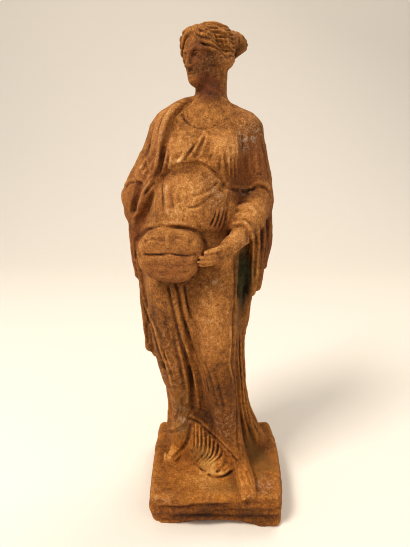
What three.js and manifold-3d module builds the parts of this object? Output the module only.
// A terracotta statuette of a draped woman holding a flat box, on its own square plinth.
// Millimetres, +Z up, the figure faces -Y. The origin is the middle of the plinth's underside.
//
// The whole thing was pressed and fired as one piece of clay, so it is one closed solid.
// It is shaped the way clay is: plain masses (balls, limbs, lofts) are blended into one
// soft form, folds are pressed in or raised along short curves, and then three.js
// cylinders and spheres are shrunk onto that form and joined.

import * as THREE from "three";
import { mergeVertices } from "three/addons/utils/BufferGeometryUtils.js";
import Module from "manifold-3d";

// Driving sizes
const PLINTH = { frontHalf: 45, backHalf: 47, halfDepth: 44, height: 24, x: 0.5, y: -1 };
const HEAD = { x: -6, y: 5, z: 304, turn: -48, nod: 2 };
const SHOULDER_Z = 264;
const HIP_Z = 195;
const HEM_Z = 22;

// How finely each mass is faceted
const BODY_SPOKES = 52;
const HEAD_FACETS = [32, 23];
const FRONT_CROWDING = 0.3;
// Height of a ring, and the gap to the next ring from there up
const RING_GAPS = [[18, 5], [40, 6], [HIP_Z, 5.2], [SHOULDER_Z - 12, 4.4], [SHOULDER_Z, 3], [280, 3], [298, 9]];
const BODY_TOP = 298;

// Folds are drawn on an upright sheet and carried onto the clay along lines from this point
const DRAWN_FROM = new THREE.Vector3(-7.3, -271, 241);
const SHEET_Y = 9;

// The head's facets spread from this point, and its locks wave by this many degrees
const HEAD_HUB = [0, 1, 1];
const HEAD_REACH = 34;
const LOCK_WAVE = 4;

const CLAY = { color: 0xa8743f, roughness: 0.88, metalness: 0 };

// Soft joining of two distances
function blend(a, b, softness) {
  const h = Math.max(softness - Math.abs(a - b), 0) / softness;
  return Math.min(a, b) - (h * h * softness) / 4;
}

function ease(t) {
  const c = Math.min(Math.max(t, 0), 1);
  return c * c * (3 - 2 * c);
}

// Smooth rows of numbers: a Catmull-Rom curve through them with n steps a span
function smoothRows(rows, n) {
  if (rows.length < 3) {
    const line = [];
    for (let i = 0; i <= n; i++) {
      line.push(rows[0].map((v, k) => v + ((rows[1][k] - v) * i) / n));
    }
    return line;
  }
  const last = rows.length - 1;
  const before = rows[0].map((v, k) => 2 * v - rows[1][k]);
  const after = rows[last].map((v, k) => 2 * v - rows[last - 1][k]);
  const all = [before, ...rows, after];
  const out = [];
  for (let i = 1; i < all.length - 2; i++) {
    const [a, b, c, d] = all.slice(i - 1, i + 3);
    for (let s = 0; s < n; s++) {
      const t = s / n;
      out.push(b.map((_, k) => {
        const square = 2 * a[k] - 5 * b[k] + 4 * c[k] - d[k];
        const cube = 3 * b[k] - a[k] - 3 * c[k] + d[k];
        return 0.5 * (2 * b[k] + (c[k] - a[k]) * t + square * t * t + cube * t * t * t);
      }));
    }
  }
  out.push(rows[last]);
  return out;
}

// A turned place of its own, such as the head
class Placing {
  constructor(at, turn = 0, nod = 0) {
    const euler = new THREE.Euler(THREE.MathUtils.degToRad(nod), 0, THREE.MathUtils.degToRad(turn), "ZXY");
    this.origin = new THREE.Vector3(...at);
    this.rotation = new THREE.Matrix4().makeRotationFromEuler(euler);
    this.inverse = this.rotation.clone().transpose();
  }

  out(p) {
    return new THREE.Vector3(p[0], p[1], p[2]).applyMatrix4(this.rotation).add(this.origin);
  }

  in(p) {
    return p.clone().sub(this.origin).applyMatrix4(this.inverse);
  }
}

const STANDING = new Placing([0, 0, 0]);
const HEAD_PLACE = new Placing([HEAD.x, HEAD.y, HEAD.z], HEAD.turn, HEAD.nod);

// Masses: each is { distance(p), soft, cut }, with p a point of the figure

function ellipsoidDistance(p, size) {
  const whole = Math.hypot(p.x / size[0], p.y / size[1], p.z / size[2]);
  const squared = Math.hypot(p.x / size[0] ** 2, p.y / size[1] ** 2, p.z / size[2] ** 2);
  return (whole * (whole - 1)) / Math.max(squared, 1e-6);
}

function ball(at, size, soft, place = STANDING, cut = false) {
  const centre = new THREE.Vector3(...at);
  const distance = (p) => ellipsoidDistance(place.in(p).sub(centre), size);
  return { distance, soft, cut };
}

// A rounded limb through rows of x, y, z, radius
function limb(rows, soft, place = STANDING) {
  const beads = smoothRows(rows, 4).map(([x, y, z, r]) => ({ at: place.out([x, y, z]), r }));
  const bones = beads.slice(1).map((end, i) => {
    const start = beads[i];
    const along = end.at.clone().sub(start.at);
    return { start, along, grow: end.r - start.r, square: along.lengthSq() + 1e-9 };
  });
  const distance = (p) => {
    let best = Infinity;
    for (const { start, along, grow, square } of bones) {
      const gx = p.x - start.at.x;
      const gy = p.y - start.at.y;
      const gz = p.z - start.at.z;
      const dot = gx * along.x + gy * along.y + gz * along.z;
      const h = Math.min(Math.max(dot / square, 0), 1);
      const off = Math.hypot(gx - h * along.x, gy - h * along.y, gz - h * along.z);
      best = Math.min(best, off - start.r - h * grow);
    }
    return best;
  };
  return { distance, soft };
}

// A trunk through oval levels: height, middle x and y, half width, depth to front and to back
function trunk(levels, soft) {
  const fine = smoothRows(levels, 8);
  const low = levels[0][0];
  const high = levels[levels.length - 1][0];
  const at = (z) => {
    const k = Math.max(fine.findIndex((row) => row[0] >= z), 1);
    const [under, over] = [fine[k - 1], fine[k]];
    const t = (z - under[0]) / (over[0] - under[0]);
    return under.map((v, i) => v + (over[i] - v) * t);
  };
  const distance = (p) => {
    const [, cx, cy, half, front, back] = at(Math.min(Math.max(p.z, low + 0.001), high));
    const depth = p.y < cy ? front : back;
    const round = (Math.abs((p.x - cx) / half) ** 2.2 + Math.abs((p.y - cy) / depth) ** 2.2) ** (1 / 2.2);
    return Math.max((round - 1) * Math.min(half, depth), p.z - high, low - p.z);
  };
  return { distance, soft };
}

// The masses that make the standing body, without the forearm in front and the box

function skirtMasses() {
  const cloth = trunk([
    [HEM_Z, 1, 9, 35, 25, 20],
    [34, 0, 9, 32, 21, 20],
    [60, -4, 8, 25, 17, 20],
    [90, -8, 7, 25.5, 17, 20],
    [120, -12, 7, 29, 18, 21],
    [150, -13, 7, 33, 20, 23],
    [172, -13, 7, 35, 22, 24],
    [HIP_Z, -13, 7, 33, 24, 23],
    [215, -12, 7, 29, 23, 21],
    [236, -10, 7, 25, 19, 18],
  ], 3);
  const bentLeg = limb([
    [-1, -5, 165, 16],
    [0, -9, 138, 14.5],
    [1.5, -12, 108, 12.2],
    [6, -13, 75, 10],
    [12, -14, 45, 8.5],
    [16, -15, 31, 7],
  ], 7);
  const standingLeg = limb([
    [-31, -1, 160, 14],
    [-32, -5, 130, 12.5],
    [-29, -7, 100, 10.2],
    [-23, -4, 72, 8.3],
    [-24.5, 0, 42, 8.3],
  ], 7);
  return [cloth, bentLeg, standingLeg];
}

function torsoMasses() {
  const chest = trunk([
    [205, -12, 7, 28, 22, 20],
    [225, -11, 7, 26, 20, 18],
    [238, -10, 7, 25, 16, 17],
    [250, -9, 7, 29, 16.5, 17],
    [262, -7, 7, 30.5, 14, 16],
    [270, -6, 7, 26.5, 10.5, 13],
    [276, -4, 7, 17, 7.5, 10],
  ], 6);
  const back = trunk([
    [26, -2, 12, 31, 8, 17],
    [90, -9, 12, 28, 8, 17],
    [150, -11, 13, 34, 12, 18],
    [185, -11, 14, 40, 10, 16],
    [215, -11, 14, 38, 8, 14],
    [240, -9, 12, 31, 8, 13],
    [262, -6, 10, 24, 6, 11],
  ], 8);
  const breasts = [-22, 3].map((x, side) => ball([x, -6 - side, 246], [11, 10, 10.5], 9));
  const belly = ball([-15, -7, 214], [22, 14, 17], 10);
  const neck = limb([
    [-3.5, 8.5, SHOULDER_Z, 13],
    [-3.7, 6.5, 275, 10.8],
    [-3.5, 6, 284, 9.8],
    [-3, 7, 298, 9.8],
  ], 8);
  return [chest, ...breasts, belly, neck, back];
}

// The mantle: a roll over one shoulder, cloth hanging from both arms, a fall to the ground
function mantleMasses() {
  const roll = limb([
    [-13, 13, 279, 3],
    [-20.5, 5, 276, 4.2],
    [-30, -2, 267, 5],
    [-35, -4, 253, 5.3],
    [-37.5, -4, 238, 5.2],
    [-42, -3, 224, 4.4],
    [-47, 0, 213, 3.5],
  ], 4);
  // x, y, upper end, lower end, radius of each hanging fold
  const fromForearm = [
    [33.8, 10, 214, 169, 4.9],
    [29.5, 4, 208, 155, 4.6],
    [25.5, -2, 200, 153, 4],
    [20.3, 5, 192, 128, 5.5],
    [17, 8, 150, 113, 4.5],
  ].map(([x, y, top, low, r]) => hangingFold(x, y, top, low, r, 1, 2.2));
  const behindHip = [
    [-57, 18, 206, 160, 4.8],
    [-51, 18, 200, 103, 5.2],
    [-46, 18, 170, 98, 4.5],
    [-36.5, 18, 130, 80, 4.8],
    [-28.5, 17, 110, 30, 4.2],
  ].map(([x, y, top, low, r]) => hangingFold(x, y, top, low, r, -1.5, 3));
  const fall = limb([
    [14.5, 4, 150, 6],
    [12, 4, 120, 6.8],
    [14.5, 4, 90, 7],
    [18.5, 5, 62, 7.6],
    [26.5, 8, 40, 9],
    [34, 11, 28, 8],
  ], 3);
  return [roll, ...fromForearm, ...behindHip, fall];
}

function hangingFold(x, y, top, low, radius, inward, soft) {
  return limb([
    [x, y, top, radius * 0.8],
    [x + 0.5, y, (top + low) / 2, radius],
    [x - inward, y, low + 3, radius * 0.72],
  ], soft);
}

function armMasses() {
  const rightSleeve = limb([
    [-28.5, 9, SHOULDER_Z, 11],
    [-37, 11, 247, 10.8],
    [-46.4, 13, 232, 10.5],
    [-54.4, 14, 219.5, 9.5],
  ], 6);
  const rightForearm = limb([
    [-55, 13, 216, 8],
    [-54.5, 14, 207, 7.8],
    [-49, 17, 199, 7.5],
    [-42, 20, 195, 7.5],
  ], 2);
  const leftSleeve = limb([
    [17.5, 9, 261.5, 10.5],
    [21.4, 10, 246, 11.2],
    [24.6, 11, 232, 11.6],
    [27, 11, 221, 11],
  ], 6);
  const leftElbow = ball([26, 8, 214], [11, 11, 11], 3);
  return [rightSleeve, rightForearm, leftSleeve, leftElbow];
}

// The forearm that holds the box, wrapped down to the wrist, and the hand
const FOREARM = [
  [26.5, 8, 215, 11],
  [22, -3, 207, 10.5],
  [17.5, -12, 201, 8.3],
  [14, -17, 196, 6.6],
  [9, -23, 191.8, 6],
  [4, -26, 189, 5.2],
  [-2, -28.5, 186.5, 3.8],
];

function fingers() {
  const heights = [190.5, 186.6, 182.9, 179.8];
  const reach = [-7.5, -9.5, -9, -7];
  const rows = heights.map((z, i) => [
    [1.5, -30, 187.5 + (z - 186) * 0.7, 2.4],
    [-4, -31.5, 187 + (z - 186) * 0.95, 2.1],
    [reach[i], -31.5, z - 0.3, 1.6],
  ]);
  rows.push([[5, -26, 193.5, 3], [0.5, -28, 194.5, 2.5], [-5, -29, 193.5, 1.8]]);
  return rows;
}

// The box: an oval outline cut by a lens, so that its face is gently round
const BOX = { at: [-27, -19.5, 186], half: 22, rise: 16.5, thick: 11.5, turn: -4, nod: 6 };

function boxMass() {
  const place = new Placing(BOX.at, BOX.turn, BOX.nod);
  const distance = (p) => {
    const q = place.in(p);
    const n = q.z > 0 ? 3.2 : 2.1;
    const round = (Math.abs(q.x / BOX.half) ** n + Math.abs(q.z / BOX.rise) ** n) ** (1 / n);
    const outline = (round - 1) * Math.min(BOX.half, BOX.rise);
    const lens = ellipsoidDistance(q, [BOX.half * 2.2, BOX.thick, BOX.rise * 2]);
    return -blend(-outline, -lens, 5);
  };
  return { distance, soft: 1 };
}

// The head, in its own place: x across the face, -y forward, z up, chin at -17, crown at 19

function headMasses() {
  const place = HEAD_PLACE;
  const skull = ball([0, 1.5, 3.5], [12.2, 15, 14], 3, place);
  const face = ball([0, -4.2, -4.5], [10.2, 10.3, 12.5], 3, place);
  const chin = ball([0, -9.6, -13.5], [4.6, 4.2, 4], 4, place);
  const features = [-1, 1].flatMap((side) => [
    ball([side * 4.9, -14.6, -0.9], [3.3, 2.6, 2.2], 2.2, place, true),
    ball([side * 4.7, -11.4, -1.2], [2.3, 2, 1.7], 0.5, place),
    limb([[side * 1.6, -14.2, 1.6, 0.8], [side * 4.6, -13.4, 2.6, 0.9], [side * 8, -11, 1.6, 0.8]], 1.6, place),
  ]);
  const nose = limb([[0, -13.6, 2.2, 1.3], [0, -15.2, -2.5, 1.4], [0, -16.2, -6.2, 1.9]], 1.6, place);
  const lips = [[-10.6, -14, 0.8], [-12.1, -13.9, 1]].map(([z, y, r]) => (
    limb([[-3, -12.8, z - 0.1, 0.5], [0, y, z, r], [3, -12.8, z - 0.1, 0.5]], 0.7, place)
  ));
  return [skull, face, chin, ...features, nose, ...lips, ...hairMasses(place)];
}

function hairMasses(place) {
  const cap = ball([0, 4, 6.6], [14.4, 14.6, 13.9], 1.5, place);
  const front = limb([
    [-12, -3, -3.5, 2.6],
    [-11.3, -7, 3, 2.9],
    [-7.5, -10.1, 9.5, 2.9],
    [0, -10.8, 12.8, 2.8],
    [7.5, -10.1, 9.5, 2.9],
    [11.3, -7, 3, 2.9],
    [12, -3, -3.5, 2.6],
  ], 1.5, place);
  const sides = [-1, 1].map((side) => limb([
    [side * 12, -3, -3, 3],
    [side * 12.6, 3, -4.5, 3.6],
    [side * 9, 10, -5, 4.6],
    [side * 4, 14, -3, 5],
  ], 2.5, place));
  return [cap, front, ...sides];
}

const BUN = [[0, 10, 7, 9], [0, 19, 8.6, 8.4], [0, 24, 9, 8.2], [0, 28, 7.6, 6.2]];

const FEET = [
  [[14, -12, 34, 6.5], [17, -28, 30, 5.5], [20, -38, 27, 4.6], [22, -43, 25.6, 3.6]],
  [[-25, 5, 34, 6], [-29, -5, 28.5, 4.8], [-31, -11.5, 26.2, 3.4]],
];

// A field: masses blended in order, then folds added where they were pressed

class Field {
  constructor(masses) {
    this.masses = masses;
    this.folds = [];
  }

  at(p) {
    let value = 14;
    for (const { distance, soft, cut } of this.masses) {
      const d = distance(p);
      value = cut ? -blend(-value, d, soft) : blend(value, d, soft);
    }
    for (const press of this.folds) {
      value -= press(p);
    }
    return value;
  }

  // Walk from one point towards another until the clay is met
  walk(from, to) {
    const way = to.clone().sub(from);
    const length = way.length();
    way.divideScalar(length || 1);
    let t = 0;
    let p = from.clone();
    while (t < length) {
      const d = this.at(p);
      if (d < 0.02) {
        return p;
      }
      t += Math.min(Math.max(d * 0.7, 0.08), 4);
      p = from.clone().addScaledVector(way, t);
    }
    return to.clone();
  }
}

// One fold: [from x, z, to x, z, bow a third along, bow two thirds along], width, height.
// A height over 0 is a ridge and under 0 a groove. Both ends die away.
function fold(field, [x0, z0, x1, z1, bow1, bow2], width, height, from = "front") {
  const steps = 12;
  const length = Math.hypot(x1 - x0, z1 - z0);
  const across = [-(z1 - z0) / length, (x1 - x0) / length];
  const line = [];
  for (let i = 0; i <= steps; i++) {
    const t = i / steps;
    const bow = bow1 * 13.5 * t * (t - 2 / 3) * (t - 1) - bow2 * 13.5 * t * (t - 1 / 3) * (t - 1);
    const x = x0 + (x1 - x0) * t + across[0] * bow;
    const z = z0 + (z1 - z0) * t + across[1] * bow;
    line.push(from === "front" ? ontoFront(field, x, z) : ontoSide(field, x, z, from));
  }
  return pressLine(line, width, height);
}

function ontoFront(field, x, z) {
  const sheet = new THREE.Vector3(x, SHEET_Y, z);
  const near = sheet.clone().lerp(DRAWN_FROM, 0.28);
  return field.walk(near, sheet);
}

// Seen square from a side: the angle turns the view from the front towards +X
function ontoSide(field, x, z, angle) {
  const a = THREE.MathUtils.degToRad(angle);
  const right = new THREE.Vector3(Math.cos(a), Math.sin(a), 0);
  const ahead = new THREE.Vector3(-Math.sin(a), Math.cos(a), 0);
  const middle = right.multiplyScalar(x).add(new THREE.Vector3(0, 0, z));
  return field.walk(middle.clone().addScaledVector(ahead, -72), middle);
}

// A lock of hair at a set height round the head, in degrees up, swept back on one side
function lock(field, side, degreesUp, width, height) {
  const line = [];
  for (let i = 0; i <= 10; i++) {
    const t = i / 10;
    const round = THREE.MathUtils.degToRad(side * (10 + 140 * t));
    const up = THREE.MathUtils.degToRad(degreesUp + LOCK_WAVE * Math.sin(9 * t));
    const outer = HEAD_PLACE.out([
      HEAD_HUB[0] + HEAD_REACH * Math.sin(round) * Math.cos(up),
      HEAD_HUB[1] - HEAD_REACH * Math.cos(round) * Math.cos(up),
      HEAD_HUB[2] + HEAD_REACH * Math.sin(up),
    ]);
    line.push(field.walk(outer, HEAD_PLACE.out(HEAD_HUB)));
  }
  return pressLine(line, width, height);
}

function locks(field) {
  const heights = [25, 41, 57];
  return [-1, 1].flatMap((side) => heights.map((up) => lock(field, side, up, 2.3, -1.3)));
}

function pressLine(line, width, height) {
  const box = new THREE.Box3().setFromPoints(line).expandByScalar(width);
  const last = line.length - 1;
  return (p) => {
    if (!box.containsPoint(p)) {
      return 0;
    }
    let best = Infinity;
    let place = 0;
    for (let i = 0; i < last; i++) {
      const a = line[i];
      const b = line[i + 1];
      const [ux, uy, uz] = [b.x - a.x, b.y - a.y, b.z - a.z];
      const [gx, gy, gz] = [p.x - a.x, p.y - a.y, p.z - a.z];
      const dot = (gx * ux + gy * uy + gz * uz) / (ux * ux + uy * uy + uz * uz + 1e-9);
      const h = Math.min(Math.max(dot, 0), 1);
      const off = Math.hypot(gx - h * ux, gy - h * uy, gz - h * uz);
      if (off < best) {
        best = off;
        place = (i + h) / last;
      }
    }
    const r = best / width;
    if (r >= 1) {
      return 0;
    }
    const fade = ease(place / 0.2) * ease((1 - place) / 0.2);
    return height * fade * (1 - r * r) ** 2;
  };
}

// A fan of folds that swings from a first to a last one; the heights are used in turn
function fan(field, first, last, count, width, heights, from = "front") {
  const folds = [];
  for (let i = 0; i < count; i++) {
    const t = count > 1 ? i / (count - 1) : 0;
    const row = first.map((v, k) => v + (last[k] - v) * t);
    folds.push(fold(field, row, width, heights[i % heights.length], from));
  }
  return folds;
}

function upperFolds(field) {
  return [
    // the mantle's inner edge and the lines beside it
    fold(field, [-15, 279, -38, 235, -5.5, -5.2], 3.2, -3.2),
    ...fan(field, [-18, 275, -35, 235, -5.8, -4.2], [-32, 274, -47, 243, -2.6, -1.6], 3, 3, [1.2, -1.5]),
    // cuff of her right sleeve and the strip across to the hip
    fold(field, [-61, 224, -52, 225, 2.7, 3.1], 1.9, -2),
    fold(field, [-37, 235, -53, 210, -0.5, -0.9], 3.4, -2.4),
    fold(field, [-34, 234, -53, 202, -1.7, -2.3], 2.2, 1.4),
    // folds gathered at the neckline, then the high belt
    ...fan(field, [-12, 260, -28, 241, -1, -1], [-2, 258, -5, 241, -0.3, -0.4], 4, 3.2, [1.8, -1.6]),
    fold(field, [-36, 232, 3, 235, 7.4, 7], 2.6, -2.8),
    fold(field, [-30, 234, -3, 235, 4.6, 4.7], 2.6, 1),
    // between the breast and her left arm
    fold(field, [10, 256, 11, 226, 0.1, -1], 3, -2.4),
    // belly: upright folds, creases, and the curved folds on the right
    ...fan(field, [-37, 226, -39, 208, 0.3, 0.3], [-25, 232, -25, 209, 0.6, 0.6], 3, 3, [-1, 1.5]),
    ...fan(field, [-15, 220, 3, 228, -0.8, -1], [-19, 212, -3, 218, -1.4, -1.3], 2, 2.6, [-1.3]),
    ...fan(field, [3, 225, -6, 198, 2.2, 2.3], [13, 222, 5, 192, 1.8, 2], 3, 3.2, [-1.3, 1.2]),
    // lower edge of the overfold above the box
    fold(field, [-54, 191, -3, 186, 9.3, 8.7], 2.6, -3),
    // sleeve hem at her left elbow
    fold(field, [11, 228, 37, 222, -2.7, 2.2], 2.4, -2),
    fold(field, [11, 231, 37, 224, -1.8, 2.7], 2.6, 1.5),
    // hanging cloth under the forearm, and the hollow beside it
    ...fan(field, [24, 190, 24, 155, 0.6, 0.5], [34, 202, 35, 180, 0.9, 0.9], 3, 3, [-1.6, 1.2]),
    fold(field, [19, 181, 17, 146, -0.8, 0], 3.6, -3.4),
    fold(field, [-55, 191, -55, 176, 0, 0], 1.8, -3),
  ];
}

function skirtFolds(field) {
  return [
    // edge of the cloth over the standing leg
    fold(field, [-53, 160, -34, 52, 2, 5.3], 2.5, -2.4),
    fold(field, [-51, 158, -30, 65, 1.1, 3.2], 2.5, 1.3),
    // long folds swinging from under the box to the hem
    ...fan(field, [-34, 159, -11, 61, -1.4, 0.1], [-19, 156, 3, 82, -2.6, -2.2], 4, 3.6, [-1.8, 1.6]),
    fold(field, [-31, 125, -16, 57, 1.8, 1.9], 2.8, -2.6),
    fold(field, [-22, 97, -12, 53, 0.4, 0], 2.2, 1.5),
    // the deep fold outside the bent leg
    fold(field, [13, 129, 23, 13, -2.7, -1.3], 2.8, -3),
    fold(field, [17, 123, 26, 43, -1.4, -1.3], 2.4, 1.4),
    fold(field, [21, 111, 29, 43, -0.8, -1.1], 2.2, -1),
    // hem of the overskirt and the fine pleats under it
    fold(field, [-20, 52, 22, 10, 1.6, -0.4], 2.2, 1.6),
    ...fan(field, [-16, 46, -19, 12, -1.5, -1], [6, 27, -1, 0, -3, -3], 3, 3, [-1.6]),
  ];
}

function backFolds(field) {
  return [
    // the mantle drawn across the back from her right shoulder to her left arm
    ...fan(field, [22, 262, -28, 214, -5, -5], [34, 236, -26, 168, -6, -6], 5, 4, [-1.2, 1], 180),
    ...fan(field, [-18, 150, -20, 34, 1, 1], [28, 150, 14, 34, -2, -2], 6, 4, [-1.3, 1.1], 180),
    ...fan(field, [-8, 196, -10, 112, 0, 0], [-26, 196, -24, 90, 0, 0], 3, 3, [-1.5, 1], -90),
    ...fan(field, [2, 140, 4, 40, 0, 0], [22, 196, 20, 40, 0, 0], 4, 3, [-1.4, 1.1], 90),
  ];
}

// Shrinking a three.js shape onto a field

function closedPoints(geometry) {
  geometry.deleteAttribute("normal");
  geometry.deleteAttribute("uv");
  return mergeVertices(geometry, 1e-5);
}

function moveEach(geometry, move) {
  const merged = closedPoints(geometry);
  const position = merged.attributes.position;
  const p = new THREE.Vector3();
  for (let i = 0; i < position.count; i++) {
    p.fromBufferAttribute(position, i);
    const q = move(p);
    position.setXYZ(i, q.x, q.y, q.z);
  }
  return merged;
}

function ringLevels(gaps, top) {
  const levels = [gaps[0][0]];
  while (levels[levels.length - 1] < top) {
    const z = levels[levels.length - 1];
    const k = Math.min(Math.max(gaps.findIndex((row) => row[0] > z), 1), gaps.length - 1);
    const [z0, gap0] = gaps[k - 1];
    const [z1, gap1] = gaps[k];
    levels.push(z + gap0 + ((gap1 - gap0) * (z - z0)) / (z1 - z0));
  }
  return levels;
}

// Each four-sided facet of a cylinder is split along whichever diagonal lies closer to the clay
function splitAlongFolds(geometry, field, quads) {
  const { index, attributes } = geometry;
  const corner = (i) => new THREE.Vector3().fromBufferAttribute(attributes.position, i);
  const miss = (i, j) => Math.abs(field.at(corner(i).lerp(corner(j), 0.5)));
  for (let q = 0; q < quads; q++) {
    const [a, b, d] = [0, 1, 2].map((k) => index.getX(6 * q + k));
    const c = index.getX(6 * q + 4);
    if (miss(a, c) < miss(b, d)) {
      [a, b, c, a, c, d].forEach((vertex, k) => index.setX(6 * q + k, vertex));
    }
  }
  return geometry;
}

// Middle of the body at a height: it leans from the feet to the neck
function bodyAxis(z) {
  const t = ease((z - 30) / 90);
  const s = ease((z - 220) / 50);
  return new THREE.Vector3(2 - 12 * t + 6 * s, 6 + 2 * t - 1 * s, z);
}

// Spokes stand closer together at the front, where the carving is
function crowded(angle) {
  return angle - FRONT_CROWDING * Math.sin(angle);
}

function bodyGeometry(field) {
  const levels = ringLevels(RING_GAPS, BODY_TOP);
  const rings = levels.length - 1;
  const shape = new THREE.CylinderGeometry(1, 1, rings, BODY_SPOKES, rings);
  const wrapped = moveEach(shape, (p) => {
    const level = Math.round(p.y + rings / 2);
    const axis = bodyAxis(levels[level]);
    if (Math.hypot(p.x, p.z) < 0.5) {
      return axis;
    }
    const angle = crowded(Math.atan2(p.x, p.z));
    const outward = new THREE.Vector3(Math.sin(angle), -Math.cos(angle), 0);
    return field.walk(axis.clone().addScaledVector(outward, 66), axis);
  });
  return splitAlongFolds(wrapped, field, rings * BODY_SPOKES);
}

// A ball of facets around a point in a turned place, reaching out to the field
function ballGeometry(field, place, centre, reach, across, up, crowding = 0) {
  return moveEach(new THREE.SphereGeometry(1, across, up), (p) => {
    const flat = Math.hypot(p.x, p.z);
    const angle = Math.atan2(p.x, p.z);
    const turned = angle - crowding * Math.sin(angle);
    const hub = place.out(centre);
    const outer = place.out([
      centre[0] + reach * Math.sin(turned) * flat,
      centre[1] - reach * Math.cos(turned) * flat,
      centre[2] + reach * p.y,
    ]);
    return field.walk(outer, hub);
  });
}

// A tube of facets along rows of x, y, z, radius, with a round nose at each end
function limbGeometry(rows, sides, place = STANDING) {
  const fine = smoothRows(rows, 2);
  const curve = new THREE.CatmullRomCurve3(fine.map((row) => place.out(row)));
  const steps = fine.length + 1;
  const frames = curve.computeFrenetFrames(steps, false);
  const shape = new THREE.CylinderGeometry(1, 1, steps, sides, steps);
  return moveEach(shape, (p) => {
    const k = Math.round(p.y + steps / 2);
    const t = k / steps;
    const row = t * (fine.length - 1);
    const r0 = fine[Math.floor(row)][3];
    const r1 = fine[Math.ceil(row)][3];
    const radius = r0 + (r1 - r0) * (row - Math.floor(row));
    const middle = curve.getPoint(t);
    const ending = k === 0 ? -1 : k === steps ? 1 : 0;
    middle.addScaledVector(frames.tangents[k], ending * radius * 0.75);
    const size = ending === 0 ? radius : radius * 0.6;
    middle.addScaledVector(frames.normals[k], p.x * size);
    return middle.addScaledVector(frames.binormals[k], -p.z * size);
  });
}

// The plinth: tapering sides with a bulge, a wandering front, and a worn hollow along the face
function plinthGeometry() {
  const heights = [0, 3.5, 8.5, 13, 18, 22, PLINTH.height];
  const inset = [1.6, 0, 0.8, 1.4, 0.2, 0.6, 2.6];
  const rings = heights.length - 1;
  const shape = new THREE.CylinderGeometry(1, 1, rings, 28, rings);
  return moveEach(shape, (p) => {
    const level = Math.round(p.y + rings / 2);
    const z = heights[level];
    if (Math.hypot(p.x, p.z) < 0.5) {
      return new THREE.Vector3(PLINTH.x, PLINTH.y, z);
    }
    const even = Math.atan2(p.x, p.z);
    const angle = even + 0.19 * Math.sin(4 * even);
    const corner = 1 / (Math.abs(Math.sin(angle)) ** 12 + Math.abs(Math.cos(angle)) ** 12) ** (1 / 12);
    const sx = Math.sin(angle) * corner;
    const sy = -Math.cos(angle) * corner;
    const half = PLINTH.frontHalf + ((PLINTH.backHalf - PLINTH.frontHalf) * (sy + 1)) / 2;
    const bulge = (sx > 0 ? 3.4 : 1.8) * (1 - sy * sy);
    const x = PLINTH.x + sx * (half - inset[level]) + Math.sign(sx) * bulge * Math.abs(sx) ** 8;
    const wander = sy < 0 ? 1 + 0.8 * Math.sin(x * 0.11 + 0.6) + 1.2 * ease(-x / 40) : 0;
    const y = PLINTH.y + sy * (PLINTH.halfDepth - inset[level]) + wander * Math.abs(sy) ** 8;
    return new THREE.Vector3(x, y, z);
  });
}

// Joining everything into one solid

const wasm = await Module();
wasm.setup();

function solid(geometry) {
  const merged = mergeVertices(geometry, 1e-5);
  const mesh = new wasm.Mesh({
    numProp: 3,
    vertProperties: Float32Array.from(merged.attributes.position.array),
    triVerts: Uint32Array.from(merged.index.array),
  });
  return new wasm.Manifold(mesh);
}

function geometryOf(manifold) {
  const mesh = manifold.getMesh();
  const geometry = new THREE.BufferGeometry();
  geometry.setAttribute("position", new THREE.BufferAttribute(mesh.vertProperties, 3));
  geometry.setIndex(new THREE.BufferAttribute(mesh.triVerts, 1));
  geometry.computeVertexNormals();
  return geometry;
}

function figureSolids() {
  const body = new Field([...skirtMasses(), ...torsoMasses(), ...mantleMasses(), ...armMasses()]);
  body.folds = [...upperFolds(body), ...skirtFolds(body), ...backFolds(body)];
  const head = new Field(headMasses());
  head.folds = locks(head);
  const box = new Field([boxMass()]);
  box.folds = [fold(box, [-51, 180, -13, 179, -0.4, 0.3], 2, -1.4)];
  const boxPlace = new Placing(BOX.at, BOX.turn, BOX.nod);
  return [
    bodyGeometry(body),
    ballGeometry(head, HEAD_PLACE, HEAD_HUB, HEAD_REACH, ...HEAD_FACETS, 0.4),
    limbGeometry(BUN, 14, HEAD_PLACE),
    ballGeometry(box, boxPlace, [0, 0, 0], 40, 22, 12, 0.3),
    limbGeometry(FOREARM, 13),
    ...fingers().map((rows) => limbGeometry(rows, 6)),
    ...FEET.map((rows) => limbGeometry(rows, 9)),
    plinthGeometry(),
  ];
}

const statuetteSolid = figureSolids().map(solid).reduce((whole, next) => whole.add(next));

const statuette = new THREE.Mesh(geometryOf(statuetteSolid), new THREE.MeshStandardMaterial(CLAY));
statuette.name = "statuette";

const object = new THREE.Group();
object.add(statuette);

export default object;
